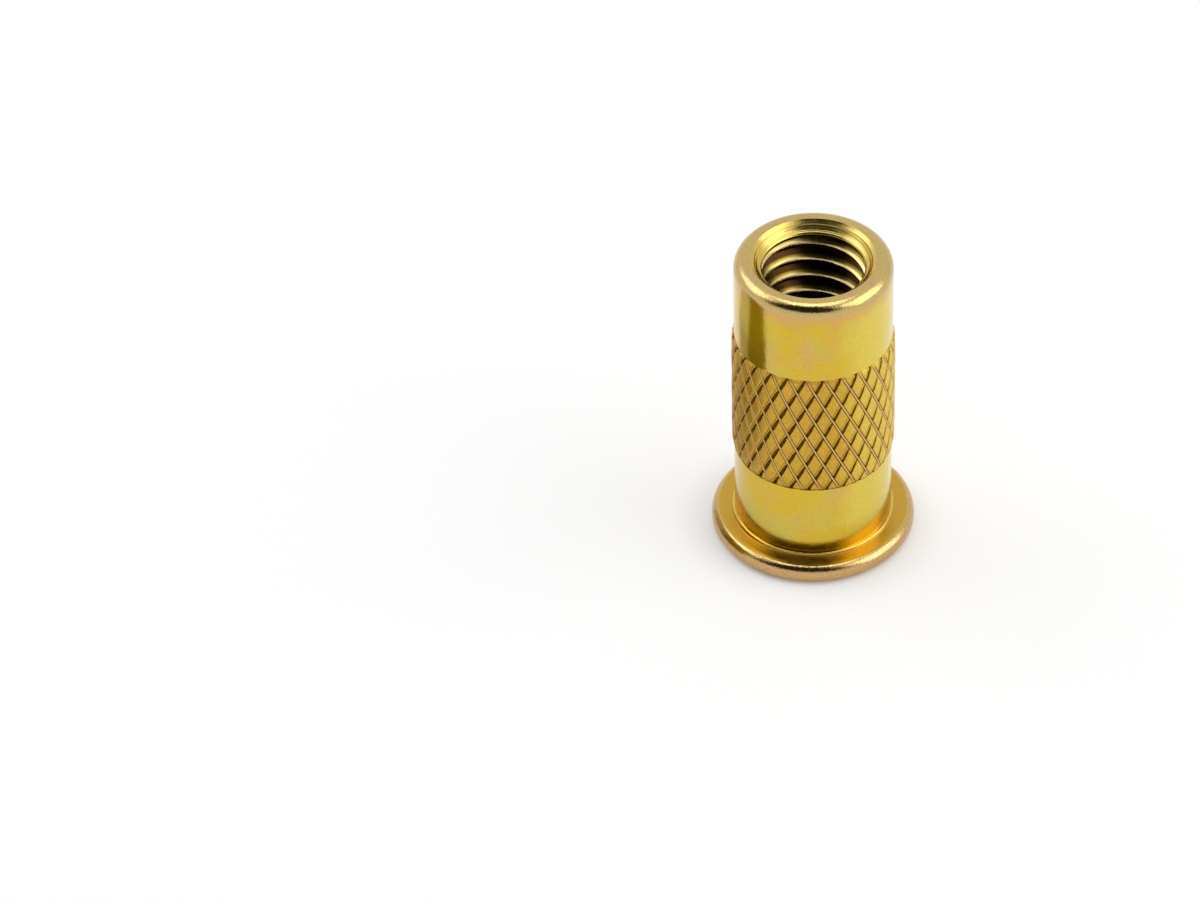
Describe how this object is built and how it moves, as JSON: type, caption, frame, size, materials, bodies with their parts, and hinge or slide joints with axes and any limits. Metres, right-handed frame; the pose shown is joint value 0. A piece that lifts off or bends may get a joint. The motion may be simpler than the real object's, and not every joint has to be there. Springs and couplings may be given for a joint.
{
  "type": "rivet nut",
  "caption": "Flat-head knurled rivet nut: a flanged steel tube with a diamond-knurled band and an internal thread at its open end.",
  "frame": {"origin": "centre of the flange's outer face, on the nut's axis", "axes": "+Z along the axis from the flange to the open, threaded end; +X and +Y are equal, apart from where the knurl's grooves cross"},
  "size_m": [0.016, 0.016, 0.0267],
  "materials": {
    "yellow_zinc": "carbon steel, zinc plated with a yellow iridescent chromate, satin"
  },
  "bodies": {
    "root": {"rivet_nut": "yellow_zinc"}
  },
  "joints": []
}
